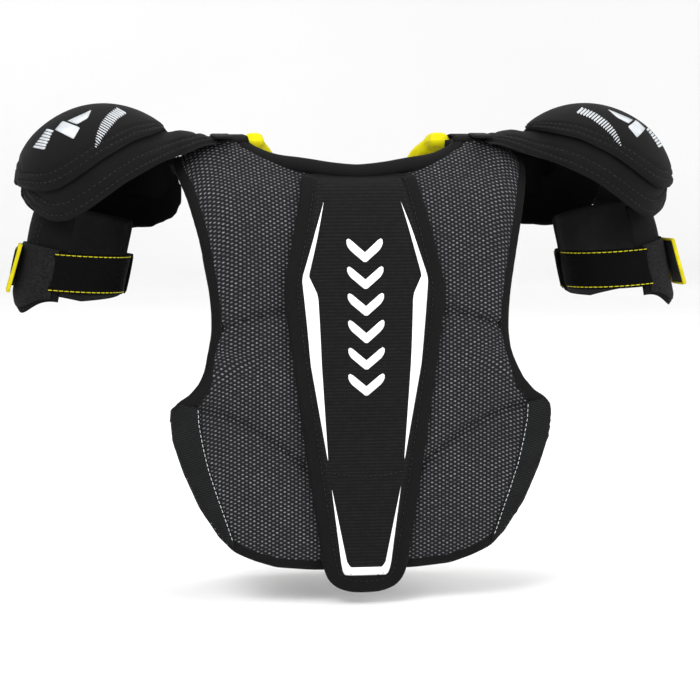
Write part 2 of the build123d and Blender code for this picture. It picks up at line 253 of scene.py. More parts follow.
# ================================================================ the wearer's form
SHOULDER = [
    (-100, 124, 57, 7, 6, 57), (-64, 127, 49, 4, 17, 49), (-42, 124, 39, 2, 34, 39),
    (-28, 116, 28, 1, 52, 28),
    (-18, 106, 20, 0, 66, 20), (-12, 96, 14, 0, 75, 14), (-8, 87, 10, 0, 82, 10), (-7.2, 82, 5, 0, 87, 5),
    (-7, 78, 0.6, 0, 90, 0.6)]
TORSO = [(-302, 76, 56, 8, 0, 56), (-262, 84, 60, 8, 0, 60), (-176, 106, 60, 8, 0, 60),
         (-130, 114, 60, 8, 0, 60)]
WINGS = [(-302, 104, 56, 8, 0, 18), (-262, 112, 60, 8, 0, 18), (-210, 126, 60, 8, 0, 18),
         (-166, 130, 60, 8, 0, 18),
         (-148, 124, 60, 8, 0, 36), (-130, 119, 60, 8, 0, 58)]
BASE = 5.0                                    # the reference sheet lies 5 mm off the wearer


def rows_smooth(rows, n=900):
    """The form's rows, smoothly interpolated with no overshoot between them."""
    P = np.array(rows, float)
    t = np.linspace(0, len(P) - 1, n)
    i = np.clip(t.astype(int), 0, len(P) - 2)
    f = (t - i)[:, None]
    h = np.diff(P, axis=0)
    d = np.zeros_like(P)
    d[1:-1] = 0.5 * (h[1:] + h[:-1])
    d[0], d[-1] = h[0], h[-1]
    same = h[:-1] * h[1:] > 0
    lim = 2.5 * np.minimum(np.abs(h[:-1]), np.abs(h[1:]))
    d[1:-1] = np.where(same, np.sign(d[1:-1]) * np.minimum(np.abs(d[1:-1]), lim), 0)
    a, b = P[i], P[i + 1]
    f2, f3 = f * f, f * f * f
    return (2 * f3 - 3 * f2 + 1) * a + (f3 - 2 * f2 + f) * d[i] + (3 * f2 - 2 * f3) * b + (f3 - f2) * d[i
            + 1]


class Sheet:
    """The reference sheet of one side of the vest: x across, w along the surface down from the
    shoulder line. side is -1 behind the wearer and 1 in front."""

    def __init__(self, side, rows):
        self.side = side
        self.xs = np.arange(0, 130, 1.5)
        self.ws = np.arange(0, 345, 1.5)
        self.Y = np.zeros((len(self.xs), len(self.ws)))
        self.Z = np.zeros_like(self.Y)
        self.prof = []
        R = rows_smooth(rows)[::-1]                 # from the shoulder line down
        lean = np.radians(R[:, 4])
        z_all, A, B = R[:, 0] + BASE * np.sin(lean), R[:, 1] + BASE * np.cos(lean), R[:,
                2] + BASE * np.cos(lean)
        corner = np.minimum(R[:, 5] + BASE * np.cos(lean), B)
        for i, x in enumerate(self.xs):
            k = np.maximum(x - (A - corner), 0)
            ok = np.where(k < corner)[0]
            y = R[ok, 3] + side * (B[ok] - corner[ok] + np.sqrt(np.maximum(corner[ok] ** 2 - k[ok] ** 2, 0)))
            z = z_all[ok]
            keep = side * y > -1
            y, z = y[keep], z[keep]
            y, z = np.concatenate([[0], y]), np.concatenate([[z[0] + 0.02], z])
            w = np.concatenate([[0], np.cumsum(np.hypot(np.diff(y), np.diff(z)))])
            self.prof.append((w, y, z))
            self.Y[i] = np.interp(self.ws, w, y)
            self.Z[i] = np.interp(self.ws, w, z) - np.maximum(self.ws - w[-1], 0)

    def w_of(self, x, z):
        """Distance down the surface at which height z is met."""
        w, y, zz = self.prof[int(np.clip(round(abs(x) / 1.5), 0, len(self.xs) - 1))]
        order = np.argsort(zz)
        return float(np.interp(z, zz[order], w[order]))

    def flat(self, pts):
        """Points given as (x, z), seen from behind, as (x, w)."""
        return np.array([(x, self.w_of(x, z)) for x, z in pts])

    def _grid(self, G, x, w):
        fx = np.clip(np.abs(x) / 1.5, 0, len(self.xs) - 1.001)
        fw = np.clip(w / 1.5, 0, len(self.ws) - 1.001)
        i, j = fx.astype(int), fw.astype(int)
        a, b = fx - i, fw - j
        return (G[i, j] * (1 - a) * (1 - b) + G[i + 1, j] * a * (1 - b)
                + G[i, j + 1] * (1 - a) * b + G[i + 1, j + 1] * a * b)

    def at(self, x, w):
        x, w = np.asarray(x, float), np.asarray(w, float)
        return np.stack([x, self._grid(self.Y, x, w), self._grid(self.Z, x, w)], -1)

    def off(self, P, h):
        """Points given as (x, w), h millimetres off the wearer."""
        P = np.asarray(P)
        h = np.broadcast_to(np.asarray(h, float) - BASE, len(P))
        return self.at(P[:, 0], P[:, 1]) + self.normal(P[:, 0], P[:, 1]) * h[:, None]

    def normal(self, x, w):
        x, w = np.asarray(x, float), np.asarray(w, float)
        h = 3.0
        du = self.at(x + h, w) - self.at(x - h, w)
        dw = self.at(x, w + h) - self.at(x, np.maximum(w - h, 0))
        n = np.cross(du, dw)
        n /= np.maximum(np.linalg.norm(n, axis=-1, keepdims=True), 1e-9)
        flip = np.where(n[..., 1:2] * self.side + n[..., 2:3] * 0.6 < 0, -1.0, 1.0)
        return n * flip


BACK, FRONT = Sheet(-1, WINGS + SHOULDER), Sheet(1, TORSO + SHOULDER)


# ================================================================ 2D and mesh helpers
def resample(pts, step, closed=False):
    p = np.array(pts, float)
    if closed:
        p = np.vstack([p, p[:1]])
    d = np.concatenate([[0], np.cumsum(np.linalg.norm(np.diff(p, axis=0), axis=1))])
    n = max(int(round(d[-1] / step)), 2)
    t = np.linspace(0, d[-1], n + 1)
    out = np.stack([np.interp(t, d, p[:, k]) for k in range(p.shape[1])], -1)
    return out[:-1] if closed else out


def rounded(pts, closed, passes=2, step=4.0):
    """Corner-cut a polyline a few times, so that its corners are soft."""
    p = resample(pts, step, closed)
    for _ in range(passes):
        if closed:
            p = 0.25 * np.roll(p, 1, 0) + 0.5 * p + 0.25 * np.roll(p, -1, 0)
        else:
            q = p.copy()
            q[1:-1] = 0.25 * p[:-2] + 0.5 * p[1:-1] + 0.25 * p[2:]
            p = q
    return p


def seg_dist(P, line, closed=False):
    """Distance from each point of P to a polyline."""
    a = np.array(line, float)
    b = np.roll(a, -1, 0) if closed else a[1:]
    a = a if closed else a[:-1]
    best = np.full(len(P), 1e9)
    for p0, p1 in zip(a, b):
        d = p1 - p0
        L = max(float(d @ d), 1e-12)
        t = np.clip(((P - p0) @ d) / L, 0, 1)
        best = np.minimum(best, np.linalg.norm(P - (p0 + t[:, None] * d), axis=1))
    return best


def inside(P, poly):
    x, y = P[:, 0], P[:, 1]
    r = np.zeros(len(P), bool)
    n = len(poly)
    for i in range(n):
        x0, y0 = poly[i]
        x1, y1 = poly[(i + 1) % n]
        c = (y0 > y) != (y1 > y)
        if y1 != y0:
            r ^= c & (x < (x1 - x0) * (y - y0) / (y1 - y0) + x0)
    return r


def fill(outline, step):
    """Triangles over a 2D outline, with points on a staggered grid inside."""
    lo, hi = outline.min(0), outline.max(0)
    g = []
    row = 0
    y = lo[1]
    while y <= hi[1]:
        xs = np.arange(lo[0] + (step / 2 if row % 2 else 0), hi[0] + step, step)
        g.append(np.stack([xs, np.full(len(xs), y)], -1))
        y += step * 0.866
        row += 1
    g = np.vstack(g)
    g = g[inside(g, outline)]
    g = g[seg_dist(g, outline, True) > step * 0.55]
    verts = [Vector(p) for p in outline] + [Vector(p) for p in g]
    n = len(outline)
    res = delaunay_2d_cdt(verts, [], [list(range(n))], 1, 1e-7)
    return np.array([(p.x, p.y) for p in res[0]]), [list(f) for f in res[2]]


def new_mesh(name, verts, faces, mats, uv=None, face_mat=None):
    me = bpy.data.meshes.new(name)
    me.from_pydata((np.asarray(verts) * MM).tolist(), [], faces)
    me.update()
    for m in mats:
        me.materials.append(slots[m])
    if face_mat is not None:
        me.polygons.foreach_set("material_index", face_mat)
    me.polygons.foreach_set("use_smooth", [True] * len(me.polygons))
    if uv is not None:
        layer = me.uv_layers.new(name="UVMap")
        loops = np.zeros(len(me.loops), int)
        me.loops.foreach_get("vertex_index", loops)
        layer.data.foreach_set("uv", (np.asarray(uv)[loops] * MM).ravel())
    ob = bpy.data.objects.new(name, me)
    bpy.context.scene.collection.objects.link(ob)
    return ob


def outward(ob):
    """Point every face outwards."""
    bm = bmesh.new()
    bm.from_mesh(ob.data)
    bmesh.ops.recalc_face_normals(bm, faces=bm.faces)
    bm.to_mesh(ob.data)
    bm.free()
    return ob


def boundary_loop(faces):
    count = {}
    for f in faces:
        for a, b in zip(f, f[1:] + f[:1]):
            count[(a, b)] = count.get((a, b), 0) + 1
    return [(a, b) for (a, b) in count if (b, a) not in count]


def slab(name, outline, outer, inner, step, mats):
    """A closed piece over a 2D outline: outer(x, w) and inner(x, w) give its two skins."""
    P, F = fill(outline, step)
    n = len(P)
    top, low = outer(P), inner(P)
    verts = np.vstack([top, low])
    faces = [f for f in F] + [[v + n for v in reversed(f)] for f in F]
    fm = [0] * len(F) + [min(1, len(mats) - 1)] * len(F)
    for a, b in boundary_loop(F):
        faces.append([b, a, a + n, b + n])
        fm.append(min(1, len(mats) - 1))
    return outward(new_mesh(name, verts, faces, mats, np.vstack([P, P]), fm))


def sweep(name, path, side_dir, up_dir, section, mats, closed=True):
    """A closed section (list of (side, up)) carried along a path with given directions."""
    path, B, N = np.asarray(path), np.asarray(side_dir), np.asarray(up_dir)
    sec = np.asarray(section, float)
    m, k = len(path), len(sec)
    verts = (path[:, None, :] + B[:, None, :] * sec[None, :, 0, None]
             + N[:, None, :] * sec[None, :, 1, None])
    verts = verts.reshape(-1, 3)
    along = np.concatenate([[0], np.cumsum(np.linalg.norm(np.diff(path, axis=0), axis=1))])
    around = np.concatenate([[0], np.cumsum(np.linalg.norm(np.diff(sec, axis=0), axis=1))])
    uv = np.stack([np.repeat(along, k), np.tile(around, m)], -1)
    faces = []
    for i in range(m if closed else m - 1):
        j = (i + 1) % m
        for a in range(k):
            b = (a + 1) % k
            faces.append([i * k + a, i * k + b, j * k + b, j * k + a])
    if not closed:
        faces.append([a for a in range(k)][::-1])
        faces.append([(m - 1) * k + a for a in range(k)])
    return outward(new_mesh(name, verts, faces, mats, uv))


def oval(half_b, half_n, cb=0.0, cn=0.0, n=14, power=2.6):
    t = np.linspace(0, 2 * math.pi, n, endpoint=False)
    c, s_ = np.cos(t), np.sin(t)
    return np.stack([cb + half_b * np.sign(c) * np.abs(c) ** (2 / power),
                     cn + half_n * np.sign(s_) * np.abs(s_) ** (2 / power)], -1)


def threads(name, runs, mat, length=2.3, gap=1.5, r=0.32, sink=0.05):
    """Rows of sewn stitches: each run is (points, normals) along a seam."""
    verts, faces = [], []
    for pts, nrm in runs:
        pts, nrm = np.asarray(pts), np.asarray(nrm)
        d = np.concatenate([[0], np.cumsum(np.linalg.norm(np.diff(pts, axis=0), axis=1))])
        s0 = gap
        while s0 + length < d[-1]:
            a = np.array([np.interp(s0, d, pts[:, k]) for k in range(3)])
            b = np.array([np.interp(s0 + length, d, pts[:, k]) for k in range(3)])
            nn = np.array([np.interp(s0 + length / 2, d, nrm[:, k]) for k in range(3)])
            nn /= max(np.linalg.norm(nn), 1e-9)
            t = (b - a) / max(np.linalg.norm(b - a), 1e-9)
            side = np.cross(t, nn)
            base = len(verts)
            for f, w, h in ((0.0, 0.35, -0.5), (0.18, 1.0, 0.6), (0.5, 1.1, 1.0), (0.82, 1.0, 0.6),
                            (1.0, 0.35, -0.5)):
                c = a + (b - a) * f + nn * (h * r - sink)
                for ang in range(5):
                    an = 2 * math.pi * ang / 5
                    verts.append(c + side * math.cos(an) * r * w + nn * math.sin(an) * r * w * 0.7)
            for i in range(4):
                for k in range(5):
                    k2 = (k + 1) % 5
                    faces.append([base + i * 5 + k, base + i * 5 + k2, base + i * 5 + 5 + k2, base + i * 5
                                  + 5 + k])
            faces.append([base + k for k in range(5)][::-1])
            faces.append([base + 20 + k for k in range(5)])
            s0 += length + gap
    return new_mesh(name, verts, faces, [mat])


def flip_x(ob, name):
    """The mirror image of a piece, about the middle of the vest."""
    me = ob.data.copy()
    me.name = name
    co = np.zeros(len(me.vertices) * 3)
    me.vertices.foreach_get("co", co)
    co = co.reshape(-1, 3)
    co[:, 0] *= -1
    me.vertices.foreach_set("co", co.ravel())
    me.flip_normals()
    me.update()
    o = bpy.data.objects.new(name, me)
    bpy.context.scene.collection.objects.link(o)
    return o


def both(*right):
    """Hand, sign and pieces: the right-hand pieces, then their mirror images."""
    left = [flip_x(ob, ob.name.replace("_right", "_left")) for ob in right]
    return ("right", 1, *right), ("left", -1, *left)


def ripple(P, amp, scale=1.0, seed=0.0):
    """A soft, irregular unevenness of hand-made padding."""
    a, b = P[..., 0] / 17.0 * scale, P[..., 1] / 19.0 * scale
    return amp * (0.5 * np.sin(a + 1.7 * np.sin(b + seed)) + 0.3 * np.sin(1.9 * b - 0.7 * a + 2 * seed)
                  + 0.2 * np.sin(3.1 * a + 2.3 * b + seed))


def puff(ob, voxel=4.0, pressure=4.0, cap=3.0, sub=1):
    """Fill a piece like a stuffed pad: voxel remesh, a short cloth run with pressure, then applied."""
    sc = bpy.context.scene
    me0 = ob.data
    mats = [m for m in me0.materials]
    rm = ob.modifiers.new("grid", "REMESH")
    rm.mode = "VOXEL"
    rm.voxel_size = voxel * MM
    dg = bpy.context.evaluated_depsgraph_get()
    me = bpy.data.meshes.new_from_object(ob.evaluated_get(dg))
    ob.modifiers.clear()
    ob.data = me
    n = len(me.vertices)
    start = np.zeros(n * 3)
    me.vertices.foreach_get("co", start)
    start = start.reshape(-1, 3)
    c = ob.modifiers.new("cloth", "CLOTH")
    st = c.settings
    st.use_pressure = True
    st.uniform_pressure_force = pressure
    st.effector_weights.gravity = 0
    st.tension_stiffness = st.compression_stiffness = 8
    st.bending_stiffness = 0.4
    st.mass = 0.2
    sc.frame_start, sc.frame_end = 1, 20
    for f in range(1, 21):
        sc.frame_set(f)
    dg = bpy.context.evaluated_depsgraph_get()
    got = bpy.data.meshes.new_from_object(ob.evaluated_get(dg))
    end = np.zeros(n * 3)
    got.vertices.foreach_get("co", end)
    end = end.reshape(-1, 3)
    ob.modifiers.clear()
    move = end - start
    L = np.linalg.norm(move, axis=1, keepdims=True)
    move *= np.minimum(1.0, cap * MM / np.maximum(L, 1e-9))
    me.vertices.foreach_set("co", (start + move).ravel())
    me.update()
    sc.frame_set(1)
    sm = ob.modifiers.new("even", "SMOOTH")
    sm.factor, sm.iterations = 0.5, 4
    ss = ob.modifiers.new("fine", "SUBSURF")
    ss.levels = ss.render_levels = sub
    dg = bpy.context.evaluated_depsgraph_get()
    fin = bpy.data.meshes.new_from_object(ob.evaluated_get(dg))
    ob.modifiers.clear()
    ob.data = fin
    fin.materials.clear()
    for m in mats:
        fin.materials.append(m)
    fin.polygons.foreach_set("material_index", [0] * len(fin.polygons))
    fin.polygons.foreach_set("use_smooth", [True] * len(fin.polygons))
    return ob


def put(ob, body, slot, *stands_for, fill=None):
    """Give a piece its body and hide the CAD nodes it stands for; the material slot and the filling are not
    used.
    """
    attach(ob, body)
    if stands_for:
        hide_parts(*stands_for)


# ================================================================ vest panels
def xz_outline(sheet, half):
    """An outline seen from behind, half of it as (x, z), laid on the reference sheet as (x, w)."""
    pts = list(half) + [(-x, z) for x, z in reversed(half) if x > 0]
    p = rounded(pts, True, 1, 3.0)
    return sheet.flat(p)


def xz_line(sheet, pts):
    return sheet.flat(rounded(pts, False, 1, 3.0))


def mirror_line(p):
    return p * np.array([-1.0, 1.0])


def edge_frames(sheet, line, closed, gap, orient):
    """3D path along a line on a sheet, with the directions inwards in the sheet and off it."""
    P = sheet.at(line[:, 0], line[:, 1])
    N = sheet.normal(line[:, 0], line[:, 1])
    if closed:
        t = np.roll(line, -1, 0) - np.roll(line, 1, 0)
    else:
        t = np.gradient(line, axis=0)
    t /= np.maximum(np.linalg.norm(t, axis=1, keepdims=True), 1e-9)
    inn = np.stack([-t[:, 1], t[:, 0]], -1) * orient
    Q = sheet.at(line[:, 0] + inn[:, 0] * 2, np.maximum(line[:, 1] + inn[:, 1] * 2, 0))
    B = Q - P
    B -= N * np.sum(B * N, -1, keepdims=True)
    B /= np.maximum(np.linalg.norm(B, axis=1, keepdims=True), 1e-9)
    return P + N * (np.asarray(gap, float) - BASE).reshape(-1, 1), B, N


def orientation(p):
    x, y = p[:, 0], p[:, 1]
    return 1.0 if np.sum(x * np.roll(y, -1) - np.roll(x, -1) * y) > 0 else -1.0


def vest_panel(name, sheet, outline, seams, mats, seed):
    """A quilted panel: mesh outside, lining inside, thin at its edge and along its seams."""
    def skin(P):
        d = seg_dist(P, outline, True)
        e = np.clip(d / 13.0, 0, 1)
        e = np.sin(e * math.pi / 2)
        ch = np.zeros(len(P))
        crown = np.full(len(P), 60.0)
        for s_ in seams:
            ds = seg_dist(P, s_)
            ch = np.maximum(ch, np.exp(-(ds / 2.3) ** 2))
            crown = np.minimum(crown, ds)
        return 6.6 + 2.7 * e - 3.3 * ch * e + 0.9 * (1 - np.exp(-crown / 14.0)) * e + ripple(P, 0.35, 1.0,
                seed) * e

    def outer(P):
        return sheet.off(P, skin(P))

    def inner(P):
        d = seg_dist(P, outline, True)
        return sheet.off(P, 2.4 - 2.2 * np.sin(np.clip(d / 12.0, 0, 1) * math.pi / 2)
                         + ripple(P, 0.2, 1.3, seed + 2))

    ob = slab(name, outline, outer, inner, 2.6, mats)

    def lift(P, h):
        P = np.asarray(P)
        return sheet.off(P, skin(P) + h), sheet.normal(P[:, 0], P[:, 1])

    return ob, lift


back_half = [
    (0, -20), (10, -19.2), (20, -18), (33, -15.6), (44, -13), (54, -10), (63, -6), (70, -1.2), (74.5, 5),
    (77, 12),
    (88, 12), (100, 12), (110, 8), (115, 0), (116, -8), (113, -20), (107.5, -38), (104, -52), (101.5, -62),
    (98.5, -78), (96, -93), (94.5, -107), (94.3, -120), (96, -132), (99, -143), (104, -152.5), (111, -159.5),
    (117.5, -163.5), (121, -167.5), (121.7, -173), (120, -188), (114, -207), (104, -232), (91, -254),
    (82, -264),
    (70, -270), (56, -275), (33, -277.4), (0, -278)]
spine_half = [
    (0, -25), (30, -25), (36, -26), (38.0, -36), (44.5, -62), (49.5, -84), (51, -93), (50.5, -102),
    (49, -114),
    (45, -143), (36.5, -204), (30, -250), (27, -272), (24.5, -281.5), (19, -288.2), (10, -291.6),
    (0, -292.2)]

HEM = -200.0                                  # below this the back is drawn in a little


def lower(pts):
    return [(x, z if z > HEM else HEM + (z - HEM) * 0.905) for x, z in pts]


back_half, spine_half = lower(back_half), lower(spine_half)
back_out = xz_outline(BACK, back_half)
flex_up = xz_line(BACK, [(50, -107.5), (62, -108.5), (76, -112), (92, -118.5)])
flex_low = xz_line(BACK, [(32, -208), (44, -199), (56, -190), (67, -182), (80, -175), (92, -170.5),
                          (104, -167)])
back_seams = [flex_up, mirror_line(flex_up), flex_low, mirror_line(flex_low)]
back_panel, back_lift = vest_panel("back_panel", BACK, back_out, back_seams, ["mesh_fabric", "lining"], 0.4)
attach(back_panel, "vest_back")
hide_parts("back_cover", "back_liner",
            *[f"back_foam_{z}_{h}" for z in ("upper", "middle", "lower")
                                                      for h, _ in HANDS])


def runs_on(lift, lines, h=0.12, step=2.0):
    out = []
    for ln in lines:
        P = resample(ln, step)
        out.append(lift(P, h))
    return out




def crease(name, lift, line, body):
    """The dark sunk cord of a flex seam."""
    P, N = lift(resample(line, 2.0), -0.05)
    t = np.gradient(P, axis=0)
    t /= np.linalg.norm(t, axis=1, keepdims=True)
    ob_ = sweep(name, P, np.cross(t, N), N, oval(0.85, 0.45, 0, 0, 10, 2.2), ["binding"], False)
    put(ob_, body, "binding")


for s_, tag in zip(back_seams, ("upper_right", "upper_left", "lower_right", "lower_left")):
    crease("back_seam_" + tag, back_lift, s_, "vest_back")


def cut_line(outline, keep):
    """The stretches of a closed outline where keep(point) is true, each as an open line."""
    k = np.array([keep(p) for p in outline])
    if k.all():
        return [outline]
    start = int(np.where(~k)[0][0])
    o, k = np.roll(outline, -start, 0), np.roll(k, -start)
    runs, cur = [], []
    for p, q in zip(o, k):
        if q:
            cur.append(p)
        elif cur:
            runs.append(np.array(cur))
            cur = []
    if cur:
        runs.append(np.array(cur))
    return [r for r in runs if len(r) > 3]


def bind(name, sheet, line, closed, orient, section, gap):
    path, B, N = edge_frames(sheet, line, closed, gap, orient)
    return sweep(name, path, B, N, section, ["binding"], closed)


def stitch_line(sheet, line, closed, orient, inward, gap):
    """A row just inside a binding's own inner edge."""
    path, B, N = edge_frames(sheet, line, closed, gap, orient)
    return path + B * inward, N


# ---- Bindings of the back: along the neck, and round the armholes and hem
o = orientation(back_out)
fine_out = resample(back_out, 2.5, True)
is_neck = lambda p: abs(p[0]) < 79.5 and p[1] < 60
w_tip, w_hem = BACK.w_of(119, -170), BACK.w_of(86, lower([(86, -259)])[0][1])
is_cuff = lambda p: abs(p[0]) > 80 and w_tip < p[1] < w_hem
is_rest = lambda p: (not (abs(p[0]) < 80 and p[1] < 60) and not (abs(p[0]) < 113 and p[1] < 0.6)
                     and not is_cuff(p))
r = max(cut_line(fine_out, is_neck), key=len)
rise = 5.2 + 5.0 * np.exp(-(r[:, 0] / 43.0) ** 6)
put(bind("neck_roll", BACK, r, False, o, oval(5.2, 4.4, 4.4, 0.2, 18, 2.3), rise), "vest_back", "binding",
    "neck_binding")
stitched = [stitch_line(BACK, r, False, o, 7.9, rise + 3.2)]
for i, r in enumerate(cut_line(fine_out, is_rest)):
    ob = bind(f"back_edge_binding_{i}", BACK, r, False, o, oval(4.9, 3.9, 4.3, 0.0, 18, 2.6), 4.9)
    put(ob, "vest_back", "binding")
    if i == 0:
        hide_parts("back_binding")
    stitched.append(stitch_line(BACK, r, False, o, 7.8, 8.1))
ob = threads("back_binding_threads", stitched, "thread", 2.2, 1.4, 0.26)
put(ob, "vest_back", "binding")

# ---- Elastic folded over each wing's side edge, sewn down with a pale row
wing = [p for p in back_half if p[0] > 80 and -262 < p[1] < -166]
w_in = [(104.5, -166), (104.0, -176), (101.5, -190), (98.0, -205), (92.5, -222), (87.0, -238), (83.0, -250)]
cuff_poly = [(x + 0.8, z) for x, z in [(116.5, -163.5), (120, -166)] + wing] + w_in[::-1]
cuff_out = BACK.flat(resample(cuff_poly, 2.5, True))
cuff_free = BACK.flat(resample(cuff_poly[:len(wing) + 2], 2.5))


def cuff_lift(P, h):
    P = np.asarray(P)
    e = np.sqrt(np.clip(1 - (1 - np.clip(seg_dist(P, cuff_free) / 7.0, 0, 1)) ** 2, 0, 1))
    return BACK.off(P, 4.6 + 5.4 * e + h), BACK.normal(P[:, 0], P[:, 1])


cuff_r = slab("side_cuff_right", cuff_out, lambda P: cuff_lift(P, 0.4)[0], lambda P: cuff_lift(P, -4.4)[0],
              2.2, ["grey_elastic"])
cuff_row = np.array([(x + 1.2, BACK.w_of(x, z)) for x, z in resample(w_in, 2.5)])
cuff_th = threads("side_cuff_threads_right", [cuff_lift(cuff_row, 0.5)], "silver_print", 2.2, 0.9, 0.22)
for hand, sg, *obs in both(cuff_r, cuff_th):
    for ob in obs:
        put(ob, "vest_back", "grey_elastic")

# ---- Spine guard
spine_out = xz_outline(BACK, spine_half)


def guard(name, sheet, outline, body, binding_name, replaced, binding_replaced, slot_mat, low=9.6,
          high=16.2, tuck=None):
    def skin(P):
        e = np.clip((seg_dist(P, outline, True) - 3.0) / 12.0, 0, 1)
        thin = 0.0 if tuck is None else 1.2 * np.exp(-np.clip(P[:, 1] - tuck, 0, None) / 9.0)
        crown = (high - low - 3.4) * np.sin(e * math.pi / 2)
        return low + 3.4 + crown + ripple(P, 0.25, 0.8, 1.0) * e - thin

    def outer(P):
        return sheet.off(P, skin(P))

    def inner(P):
        return sheet.off(P, low + 0.8)

    ob_ = slab(name, outline, outer, inner, 2.4, [slot_mat, "lining"])
    put(ob_, body, "knit_fabric", *replaced, fill=0.7)

    def lift(P, h):
        P = np.asarray(P)
        return sheet.off(P, skin(P) + h), sheet.normal(P[:, 0], P[:, 1])

    orient = orientation(outline)
    fine = resample(outline, 2.5, True)
    if tuck is not None:
        fine = cut_line(fine, lambda p: p[1] > tuck + 3)[0]
    eb = bind(binding_name, sheet, fine, tuck is None, orient, oval(5.0, 2.9, 4.5, 0.0, 18, 3.0), low + 3.4)
    put(eb, body, "binding", binding_replaced)
    th = threads(binding_name + "_threads", [stitch_line(sheet, fine, tuck is None, orient, 7.6, low + 6.3),
                                             stitch_line(sheet, fine, tuck is None, orient, 11.2, low
                                                         + 6.3)],
                 "thread", 2.1, 1.4, 0.25)
    put(th, body, "binding")
    return lift


spine_lift = guard("spine_guard", BACK, spine_out, "vest_back", "spine_edge_binding",
                   ("spine_cover", "spine_foam", "spine_plate"), "spine_binding", "knit_fabric", 9.4, 16.4,
                   float(spine_out[:, 1].min()))


def printed(name, lift, polys, body, mat, slot_name, h=0.35, step=2.2):
    """Flat printed shapes lying on a padded surface, each a thin raised film."""
    allv, allf = [], []
    for poly in polys:
        P, F = fill(resample(poly, step, True), step)
        top, _ = lift(P, h)
        low, _ = lift(P, 0.02)
        n = len(P)
        base = sum(len(v) for v in allv)
        allv.append(np.vstack([top, low]))
        allf += [[v + base for v in f] for f in F]
        allf += [[v + base + n for v in reversed(f)] for f in F]
        allf += [[b + base, a + base, a + base + n, b + base + n] for a, b in boundary_loop(F)]
    ob_ = outward(new_mesh(name, np.vstack(allv), allf, [mat]))
    put(ob_, body, slot_name)
    return ob_


def on_back(pts):
    return np.array([(x, BACK.w_of(x, z)) for x, z in resample(pts, 4.0, True)])


stripe = [(24.6, -43), (31.2, -60), (40.2, -87), (35.2, -140), (24.2, -202), (28.4, -140), (30.3, -97.5),
          (36.0, -85.5)]
stripes = [on_back(stripe), on_back([(-x, z) for x, z in stripe])]
foot = [(22.2, -217), (15.8, -266.5), (14.0, -272.4), (-14.0, -272.4), (-15.8, -266.5), (-22.2, -217),
        (-12.4, -264.6), (-10.6, -267.6), (10.6, -267.6), (12.4, -264.6)]
printed("spine_stripes", spine_lift, stripes + [on_back(foot)], "vest_back", "white_print", "knit_fabric")
marks = []
for i in range(6):
    z0 = -62 - 16.4 * i
    marks.append(on_back([(0, z0 - 9.5), (-11.5, z0), (-11.5, z0 - 6.4), (0, z0 - 15.9), (11.5, z0 - 6.4),
                          (11.5, z0)]))
printed("spine_chevrons", spine_lift, marks, "vest_back", "white_print", "knit_fabric")

# Cross seam low on the spine guard.
cross = xz_line(BACK, [(-35, -204), (-20, -208.5), (0, -210.5), (20, -208.5), (35, -204)])
ob = threads("spine_cross_threads", runs_on(spine_lift, [cross], 0.1), "thread", 2.0, 1.3, 0.24)
put(ob, "vest_back", "binding")

# ================================================================ chest
chest_half = [
    (0, -62), (12, -61.2), (22, -59), (32, -54.5), (41, -48), (50, -38), (56, -27), (60.5, -15), (63.5, -4),
    (65, 5),
    (66, 12), (77, 12), (88, 12), (88.5, 0), (88.3, -30), (89, -55), (86, -80), (81.5, -100), (78.5, -114),
    (78.2, -126),
    (80.6, -143), (84.6, -156), (86.4, -167), (86.4, -180), (84.4, -194), (81.5, -207), (78, -219),
    (73.4, -233.5),
    (66, -241.5), (54, -246.5), (36, -250.2), (0, -252)]
sternum_half = [(0, -70), (18, -70), (29, -73), (35, -82), (37, -98), (37, -112), (34.5, -145), (31, -175),
                (27.5, -202), (23.5, -216), (16, -224), (6, -227), (0, -227.2)]
chest_out = xz_outline(FRONT, chest_half)
cflex_up = xz_line(FRONT, [(38, -106), (52, -105), (66, -103), (77, -104)])
cflex_low = xz_line(FRONT, [(32, -178), (48, -184), (64, -186), (82, -182)])
chest_seams = [cflex_up, mirror_line(cflex_up), cflex_low, mirror_line(cflex_low)]
chest_panel, chest_lift = vest_panel("chest_panel", FRONT, chest_out, chest_seams,
                                     ["mesh_fabric", "lining"], 2.1)
put(chest_panel, "chest", "mesh_fabric", "chest_cover", "chest_liner", "chest_foam_right",
    "chest_foam_left", fill=0.6)
for s_, tag in zip(chest_seams, ("upper_right", "upper_left", "lower_right", "lower_left")):
    crease("chest_seam_" + tag, chest_lift, s_, "chest")
oc = orientation(chest_out)
fine_chest = resample(chest_out, 2.5, True)
collar_runs = [max(cut_line(fine_chest, lambda p: abs(p[0]) < 68 and p[1] < 96 and not p[1] < 1.0), key=len)]
side_runs = [max(cut_line(fine_chest, lambda p: not (abs(p[0]) < 70 and p[1] < 110) and not p[1] < 1.0),
                 key=len)]
stitched = []
for nm, runs, rep in (("collar_roll", collar_runs, "collar_binding"),
                      ("chest_edge_binding", side_runs, "chest_binding")):
    for r in runs:
        ob = bind(nm, FRONT, r, False, oc, oval(4.9, 4.0, 4.2, 0.0, 18, 2.4), 5.0)
        put(ob, "chest", "binding", rep)
        stitched.append(stitch_line(FRONT, r, False, oc, 7.8, 8.0))
ob = threads("chest_binding_threads", stitched, "thread", 2.2, 1.4, 0.26)
put(ob, "chest", "binding")
sternum_lift = guard("sternum_guard", FRONT, xz_outline(FRONT, sternum_half), "chest",
                     "sternum_edge_binding",
                     ("sternum_cover", "sternum_foam"), "sternum_binding", "knit_fabric", 9.4, 16.0)
s_stripe = [(16.5, -84), (23.5, -104), (22, -140), (15.5, -196), (18.4, -140), (19.6, -108)]
on_front = lambda pts: np.array([(x, FRONT.w_of(x, z)) for x, z in resample(pts, 4.0, True)])
